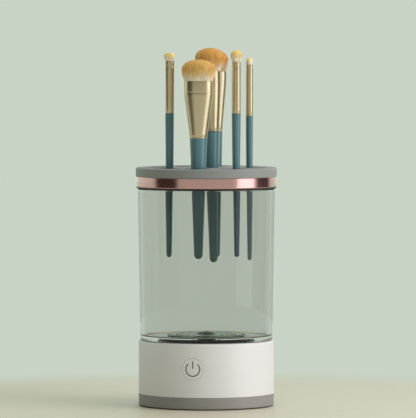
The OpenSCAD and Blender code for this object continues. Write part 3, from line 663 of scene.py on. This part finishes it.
def petal(number, k, row, rng):
    """One silicone petal: a sector that runs in from the slot's wall, and down along a handle."""
    at = slot_at(number)
    across, along = 9, 18
    half = math.pi / PETALS
    droop = rng.uniform(0.25, 0.55) * MM
    verts = []
    for i in range(along + 1):
        s = SLOT_R * 0.985 * i / along  # the way covered along the petal
        for j in range(across + 1):
            u = 2 * j / across - 1  # -1 to 1 from one side of the petal to the other
            middle = PETAL_TURN + k * TURN / PETALS
            e = reach(middle + u * half, row)
            left = max(SLOT_R - s, 0.25 * MM)
            bend = (SLOT_R - e) * BEND_SHARE if row else 0.0
            flat = SLOT_R - e - bend
            if row is None:
                rho, drop = left, droop * (s / SLOT_R) ** 2
            elif s < flat:
                rho, drop = SLOT_R - s, 0.0
            elif s < flat + bend * math.pi / 2:
                a = (s - flat) / bend
                rho, drop = SLOT_R - flat - bend * math.sin(a), bend * (1 - math.cos(a))
            else:
                rho, drop = e, bend + s - flat - bend * math.pi / 2
            width = half * min(1.0, left / rho) - SLIT / rho / 2
            a = middle + u * max(width, 0.01)
            verts.append((at.x + rho * math.cos(a), at.y + rho * math.sin(a), PETAL_Z - drop))
    w = across + 1
    faces = [(i * w + j, i * w + j + 1, (i + 1) * w + j + 1, (i + 1) * w + j)
             for i in range(along) for j in range(across)]
    return thick(verts, faces, PETAL_T)


def make_silicone():
    rng = random.Random(7)
    rows = {row["slot"]: row for row in BRUSHES.values()}
    parts = silicone_plate()
    for number in range(CENTRE, SLOTS):
        for k in range(PETALS):
            parts.append(petal(number, k, rows.get(number), rng))
    verts, faces = joined(parts)
    finish_piece("silicone_cap", verts, faces, "lid", "grey_silicone", 38, ["silicone_top"])


# ---- handles and ferrules ----

def through(points, z):
    """Value at z of the parabola through three (z, value) points."""
    (z0, v0), (z1, v1), (z2, v2) = points
    a = v0 * (z - z1) * (z - z2) / ((z0 - z1) * (z0 - z2))
    b = v1 * (z - z0) * (z - z2) / ((z1 - z0) * (z1 - z2))
    c = v2 * (z - z0) * (z - z1) / ((z2 - z0) * (z2 - z1))
    return a + b + c


PLUG_STEP, PLUG_H = 0.7 * MM, 6 * MM  # the part of the handle inside the ferrule


def make_handle(key, row):
    """Turned handle: round tip, curved taper, softened top edge and the plug in the ferrule."""
    tip_r, lid_r, foot_r = (v * MM for v in row["handle"])
    tip_z, foot = bottom(f"handle_{key}"), bottom(f"ferrule_{key}")
    if row["lean"]:
        tip_z += 0.05 * MM
    curve = [(tip_z + tip_r, tip_r), (LID_TOP, lid_r), (foot, foot_r)]
    profile = arc(0, tip_z + tip_r, tip_r, -90, -6, 10)
    profile[0] = (0, tip_z)
    steps = 26
    for i in range(1, steps + 1):
        z = tip_z + tip_r + (foot - 0.25 * MM - tip_z - tip_r) * i / steps
        profile.append((through(curve, z), z))
    profile += arc(foot_r - 0.2 * MM, foot - 0.22 * MM, 0.2 * MM, 30, 90, 3)
    profile += [(foot_r - PLUG_STEP, foot), (foot_r - PLUG_STEP, foot + PLUG_H), (0, foot + PLUG_H)]
    verts, faces = lathe(profile, 64)
    finish_piece(f"brush_{key}_handle", leaned(row, verts), faces, f"brush_{key}", "teal_lacquer",
                 50, [f"handle_{key}"])


def ferrule_span(key, row):
    """Foot and top of the ferrule along the brush's own axis."""
    low, high = bottom(f"ferrule_{key}"), top(f"ferrule_{key}")
    if row["lean"]:
        slack = math.tan(math.radians(abs(row["lean"]))) * row["ferrule"][0] * MM
        low, high = low + slack * 0.8, high - slack
    return low, high


CRIMP_DENT = 0.16 * MM
FERRULE_WALL = 0.35 * MM
COLLAR_H = 1.2 * MM  # the straight collar at the ferrule's foot, with a groove in it


def ferrule_stations(foot, high, crimp):
    """Rings of the ferrule: height, share of the way from round foot to oval top, inset."""
    band = high - crimp
    pressed = CRIMP_DENT * 0.35
    rise = foot + COLLAR_H
    stations = [(foot, 0.0, 0.12 * MM), (foot + 0.12 * MM, 0.0, 0.0), (foot + 0.9 * MM, 0.0, 0.0),
                (foot + 1.05 * MM, 0.0, 0.08 * MM), (rise, 0.0, 0.0)]
    steps = 22
    for i in range(1, steps + 1):
        t = i / steps
        stations.append((rise + (crimp - 0.9 * MM - foot - COLLAR_H) * t, t, 0.0))
    above_crimp = [(-0.6 * MM, CRIMP_DENT * 0.5), (-0.35 * MM, CRIMP_DENT),
                   (-0.1 * MM, CRIMP_DENT * 0.9), (0.15 * MM, pressed),
                   (0.5 * MM, pressed), (band * 0.5, pressed)]
    above_mouth = [(-0.25 * MM, pressed), (-0.08 * MM, CRIMP_DENT * 0.5),
                   (0.0, CRIMP_DENT * 0.6 + 0.08 * MM), (-0.1 * MM, FERRULE_WALL),
                   (-3 * MM, FERRULE_WALL + 0.05 * MM)]
    stations += [(crimp + h, 1.0, inset) for h, inset in above_crimp]
    stations += [(high + h, 1.0, inset) for h, inset in above_mouth]
    return stations


def make_ferrule(key, row):
    """Ferrule: from a round collar over the handle to a flattened, crimped and open mouth."""
    foot, high = ferrule_span(key, row)
    foot_r = row["handle"][2] * MM
    top_w, top_d, band = (v * MM for v in row["ferrule"])
    segments = 80
    stations = ferrule_stations(foot, high, high - band)
    verts = []
    for z, t, inset in stations:
        w = foot_r + (top_w - foot_r) * t
        d = foot_r + (top_d - foot_r) * t
        for i in range(segments):
            a = TURN * i / segments
            verts.append(((w - inset) * math.cos(a), (d - inset) * math.sin(a), z))
    faces = tube_faces(len(stations), segments)
    finish_piece(f"brush_{key}_ferrule", leaned(row, verts), faces, f"brush_{key}",
                 "champagne_gold", 50, [f"ferrule_{key}"])


# ---- bristle heads ----

MOUTH_GAP = 0.48 * MM  # from the ferrule's outside to the hairs in it


class Head:
    """Sizes of one bristle head, in metres along the brush's own axis."""

    def __init__(self, key, row):
        half_w, half_d, dome, self.power, self.deep = row["head"]
        self.half_w, self.half_d, self.dome = half_w * MM, half_d * MM, dome * MM
        self.foot_w = row["ferrule"][0] * MM - MOUTH_GAP
        self.foot_d = row["ferrule"][1] * MM - MOUTH_GAP
        self.mouth = ferrule_span(key, row)[1]
        self.crown = top(f"bristles_{key}")
        self.waist = self.crown - self.dome
        self.tall = self.crown - self.mouth

    def size_at(self, t):
        """Half width and half depth a share t of the way from mouth to waist."""
        e = math.sin(min(max(t, 0.0), 1.0) * math.pi / 2) ** 0.9
        return (self.foot_w + (self.half_w - self.foot_w) * e,
                self.foot_d + (self.half_d - self.foot_d) * e)

    def dome_at(self, u):
        """Height share of the dome at radius share u, flatter in the middle for more power."""
        return max(0.0, 1 - abs(u) ** self.power) ** (1 / self.power)


CORE_SHARE = 0.93  # the core's size beside that of the hairs round it
CORE_SEGMENTS = 56
# painted shade: the core gets a tone near the bottom of the hairs' range, for the shade deep in the
# bundle between hairs
CORE_SHADE_TONE = 0.12


def core_of(head):
    """A closed bundle just under the hair tips, so no light shows through the head."""
    rows_up, rows_dome = 10, 9
    # height, share of the way from mouth to waist, share of the radius there
    levels = [(head.mouth - 2 * MM, 0.0, 1.0)]
    for i in range(rows_up + 1):
        levels.append((head.mouth + (head.waist - head.mouth) * i / rows_up, i / rows_up, 1.0))
    for i in range(1, rows_dome):
        u = math.cos(math.pi / 2 * i / rows_dome)
        levels.append((head.waist + head.dome * CORE_SHARE * head.dome_at(u), 1.0, u))
    verts = []
    for z, t, u in levels:
        w, d = head.size_at(t)
        for i in range(CORE_SEGMENTS):
            a = TURN * i / CORE_SEGMENTS
            ridge = 1 + 0.02 * math.sin(i * 2.6 + 3 * t) + 0.012 * math.sin(i * 5.3)
            size = CORE_SHARE * u * ridge
            verts.append((w * size * math.cos(a), d * size * math.sin(a), z))
    faces = tube_faces(len(levels), CORE_SEGMENTS)
    last = len(verts) - CORE_SEGMENTS
    verts.append((0, 0, head.waist + head.dome * CORE_SHARE))
    faces += [(last + i, last + (i + 1) % CORE_SEGMENTS, len(verts) - 1)
              for i in range(CORE_SEGMENTS)]
    return verts, faces


HAIR_SIDES = 3
HAIR_TAPER = 0.75  # share of its radius that a hair loses on the way to its tip
ASKEW = Vector((0.3, 0.9, 0.1))  # a direction that no hair follows


def strand(points, r, start):
    """A thin tapered hair of three sides through the points."""
    verts = []
    count = len(points)
    for k, p in enumerate(points):
        ahead = points[min(k + 1, count - 1)]
        behind = points[max(k - 1, 0)]
        way = (ahead - behind).normalized()
        side = way.cross(ASKEW).normalized()
        up = way.cross(side)
        size = r * (1 - HAIR_TAPER * (k / (count - 1)) ** 2)
        for i in range(HAIR_SIDES):
            a = start + TURN * i / HAIR_SIDES
            verts.append(tuple(p + side * (size * math.cos(a)) + up * (size * math.sin(a))))
    faces = tube_faces(count, HAIR_SIDES)
    last = HAIR_SIDES * (count - 1)
    faces.append((last, last + 1, last + 2))
    return verts, faces


GOLDEN = math.pi * (3 - math.sqrt(5))  # turn between hairs, which spreads them evenly
OUTER_SHARE = 0.62  # share of the hairs that make the head's outside
OUTER_DROP, INNER_DROP = 0.28, 0.08  # how far short of the dome the shortest hairs end
HAIR_STEPS = 6
HAIR_ROOT = 0.8 * MM  # how deep in the ferrule a hair starts
PULL = 0.28  # how far a hair's tip is drawn to its tuft
TUFT_SHARE, OWN_SHARE = 0.6, 0.4  # what the tuft and the hair itself add to its tone
FEWEST_TUFTS, HAIRS_PER_TUFT = 14, 28


def tuft_at(rng):
    """Place across the bundle, tone and height of one tuft of hairs."""
    a, u = rng.uniform(0, TURN), math.sqrt(rng.uniform(0.02, 1.0))
    return u * math.cos(a), u * math.sin(a), rng.random(), rng.uniform(-0.045, 0.02)


def hair_line(head, a, u, end_u, height, tuft):
    """Points of one hair, from radius share u in the ferrule to end_u at the height of its tip."""
    bend_z = min(head.waist, height)
    start_z = head.mouth - HAIR_ROOT
    points = []
    for k in range(HAIR_STEPS + 1):
        t = k / HAIR_STEPS
        z = start_z + (height - start_z) * t
        if z < bend_z:
            w, d = head.size_at((z - head.mouth) / (head.waist - head.mouth))
            share = u
        else:
            w, d = head.size_at(1.0)
            into = (z - bend_z) / max(height - bend_z, 1e-6)
            over = head.dome_at(min(0.999, (z - head.waist) / head.dome)) if z > head.waist else 1.0
            share = min(u + (end_u - u) * into, over)
        pull = PULL * t * t
        x = share * math.cos(a) * (1 - pull) + tuft[0] * pull
        y = share * math.sin(a) * (1 - pull) + tuft[1] * pull
        points.append(Vector((w * x, d * y, z)))
    return points


def hairs_of(head, row, rng):
    """Hairs that fan out of the ferrule and end on the dome, with the tone of each."""
    count = row["hairs"]
    least, most = row["tones"]
    tufts = [tuft_at(rng) for _ in range(max(FEWEST_TUFTS, count // HAIRS_PER_TUFT))]
    hairs, tones = [], []
    for n in range(count):
        a = n * GOLDEN + rng.uniform(-0.2, 0.2)
        outer = n < count * OUTER_SHARE
        u = rng.uniform(0.93, 1.0) if outer else math.sqrt(rng.uniform(0.0, 0.9))
        end_u = u * rng.uniform(0.97, 1.01)
        if outer:
            end_u = math.cos(math.pi / 2 * rng.uniform(0.0, 1.0) ** 1.6 * 0.9)
        height = head.waist + head.dome * head.dome_at(min(end_u, 1.0)) * rng.uniform(0.88, 1.0)
        height -= rng.random() ** 3 * (OUTER_DROP if outer else INNER_DROP) * head.tall
        x, y = end_u * math.cos(a), end_u * math.sin(a)
        tuft = min(tufts, key=lambda t: (t[0] - x) ** 2 + (t[1] - y) ** 2)
        height += tuft[3] * head.tall
        points = hair_line(head, a, u, end_u, height, tuft)
        hairs.append(strand(points, rng.uniform(0.07, 0.12) * MM, rng.uniform(0, TURN)))
        tones.append(least + (most - least) * (TUFT_SHARE * tuft[2] + OWN_SHARE * rng.random()))
    return hairs, tones


def make_bristles(key, row):
    head = Head(key, row)
    core = core_of(head)
    hairs, hair_tones = hairs_of(head, row, random.Random(100 + int(key)))
    # painted shade: the core takes a darker tone than most hairs, for the shade seen between them
    tones = [max(CORE_SHADE_TONE, row["tones"][0] * 0.8)] * len(core[0])
    for (verts, _), tone in zip(hairs, hair_tones):
        tones += [tone] * len(verts)
    verts, faces = joined([core] + hairs)
    look = hair(f"bristle_{key}", head.mouth, head.crown, head.deep, row["pale"])
    finish_piece(f"brush_{key}_bristles", leaned(row, verts), faces, f"brush_{key}", "bristle",
                 60, [f"bristles_{key}"], look, tones)


make_cup()
make_trim()
make_gasket()
make_silicone()
for key, row in BRUSHES.items():
    make_handle(key, row)
    make_ferrule(key, row)
    make_bristles(key, row)


# ---- floor, light and camera ----

VIEW_AZIMUTH = math.radians(11.4)
SAGE = (0.578, 0.651, 0.565)  # the backdrop
BEIGE = (0.65, 0.61, 0.475)  # the tabletop
FILL = (0.50, 0.52, 0.47)  # the light that comes from all round
TABLE_R, BACKDROP_R = 0.20, 0.30  # the tabletop fades into the backdrop between these
FLOOR_RINGS = (0, 0.1, 0.3, 1, 6, 30)
CARD_DISTANCE = 0.8

# name, from and to in degrees round from the camera, low and high in metres, colour, strength
CARDS = [
    ("bright_card", 51, 83, -0.05, 0.7, (0.93, 1.0, 1.0), 2.1),
    ("dark_card_left", -88, -47, -0.05, 0.6, (0.03, 0.02, 0.015), 1.0),
    ("dark_card_right", 88, 121, -0.05, 0.6, (0.07, 0.05, 0.05), 1.0),
    ("pale_card_back", 126, 264, 0.112, 0.6, (0.74, 0.93, 0.82), 1.1),
    ("low_card_back", 126, 264, -0.05, 0.112, (0.38, 0.43, 0.365), 1.0),
]


def polar(distance, azimuth, height):
    """A point seen from the object: azimuth 0 is towards -Y, growing towards +X."""
    return Vector((distance * math.sin(azimuth), -distance * math.cos(azimuth), height))


def stage_piece(name, verts, faces, mat):
    """Something that stands round the object and isn't a part of it."""
    mesh = bpy.data.meshes.new(name)
    mesh.from_pydata(verts, [], faces)
    obj = bpy.data.objects.new(name, mesh)
    bpy.context.scene.collection.objects.link(obj)
    dress(obj, mat)
    return obj


def make_floor():
    """Pale tabletop round the object, which turns into the backdrop's colour further out."""
    mat, tree, bsdf = material("tabletop")
    space = object_space(tree)
    grain = noise_of(tree, space, 90, 5.0, 0.6)
    mottled(tree, bsdf, grain, BEIGE, 0.97, 1.03)
    bsdf.inputs["Roughness"].default_value = 0.45
    bump_of(tree, bsdf, grain, 0.1, 0.1 * MM)
    away = tree.nodes.new("ShaderNodeVectorMath")
    away.operation = "LENGTH"
    tree.links.new(space, away.inputs[0])
    blend = map_of(tree, away.outputs["Value"], 0.0, 1.0, TABLE_R, BACKDROP_R)
    shown(tree, mixed(tree, blend, bsdf.outputs["BSDF"], glow_of(tree, SAGE)))
    verts, faces = lathe([(r, 0) for r in FLOOR_RINGS], 96)
    stage_piece("floor", verts, faces, mat)


def make_world():
    """The camera sees the backdrop's colour, also through the cup; other rays see the fill."""
    world = bpy.data.worlds.new("studio")
    world.use_nodes = True
    tree = world.node_tree
    tree.nodes.clear()
    out = tree.nodes.new("ShaderNodeOutputWorld")
    seen = tree.nodes.new("ShaderNodeBackground")
    seen.inputs["Color"].default_value = (*SAGE, 1)
    fill = tree.nodes.new("ShaderNodeBackground")
    fill.inputs["Color"].default_value = (*FILL, 1)
    fill.inputs["Strength"].default_value = 0.68
    rays = tree.nodes.new("ShaderNodeLightPath").outputs
    ahead = math_of(tree, "MAXIMUM", rays["Is Camera Ray"], rays["Is Transmission Ray"])
    direct = math_of(tree, "LESS_THAN", rays["Diffuse Depth"], 0.5)
    either = math_of(tree, "MULTIPLY", ahead, direct)
    shader = mixed(tree, either, fill.outputs["Background"], seen.outputs["Background"])
    tree.links.new(shader, out.inputs["Surface"])
    bpy.context.scene.world = world


def softbox(name, at, size, energy, colour):
    """A rectangular lamp aimed at the object's middle, not seen in reflections."""
    light = bpy.data.lights.new(name, "AREA")
    light.shape = "RECTANGLE"
    light.size, light.size_y = size
    light.energy = energy
    light.color = colour
    obj = bpy.data.objects.new(name, light)
    bpy.context.scene.collection.objects.link(obj)
    obj.location = at
    obj.rotation_euler = (Vector((0, 0, 0.12)) - at).to_track_quat("-Z", "Y").to_euler()
    obj.visible_camera = False
    obj.visible_transmission = False
    obj.visible_glossy = False


def card(name, from_deg, to_deg, low, high, colour, strength):
    """A curved studio card round the object, seen only in reflections."""
    mat, tree, _ = material(name)
    shown(tree, glow_of(tree, colour, strength))
    steps = 24
    verts = []
    for i in range(steps + 1):
        a = VIEW_AZIMUTH + math.radians(from_deg + (to_deg - from_deg) * i / steps)
        verts += [polar(CARD_DISTANCE, a, low), polar(CARD_DISTANCE, a, high)]
    faces = [(2 * i, 2 * i + 1, 2 * i + 3, 2 * i + 2) for i in range(steps)]
    obj = stage_piece(name, [tuple(v) for v in verts], faces, mat)
    obj.visible_camera = False
    obj.visible_diffuse = False
    obj.visible_transmission = False
    obj.visible_shadow = False


def make_light():
    key_at = polar(0.9, VIEW_AZIMUTH + math.radians(62), 0.42)
    softbox("key_softbox", key_at, (0.7, 0.8), 6.4, (0.975, 0.925, 0.99))
    softbox("top_softbox", Vector((0.1, 0.1, 1.2)), (0.9, 0.9), 6.0, (0.98, 1.0, 0.98))
    for values in CARDS:
        card(*values)


def make_camera():
    """Long lens at the photo's angle; the small step to the right sets the object's place."""
    camera = bpy.data.cameras.new("camera")
    obj = bpy.data.objects.new("camera", camera)
    bpy.context.scene.collection.objects.link(obj)
    bpy.context.scene.camera = obj
    camera.lens, camera.sensor_width = 414.6, 36
    step = Vector((math.cos(VIEW_AZIMUTH), math.sin(VIEW_AZIMUTH), 0)) * (1.13 * MM)
    place = polar(3.2, VIEW_AZIMUTH, 0.2675) + step
    aim = step + Vector((0, 0, 0.1308))
    obj.location = place
    obj.rotation_mode = "QUATERNION"
    obj.rotation_quaternion = (aim - place).to_track_quat("-Z", "Y")
    camera.clip_start, camera.clip_end = 0.05, 100


make_floor()
make_world()
make_light()
make_camera()
bpy.context.scene.view_settings.view_transform = "Standard"
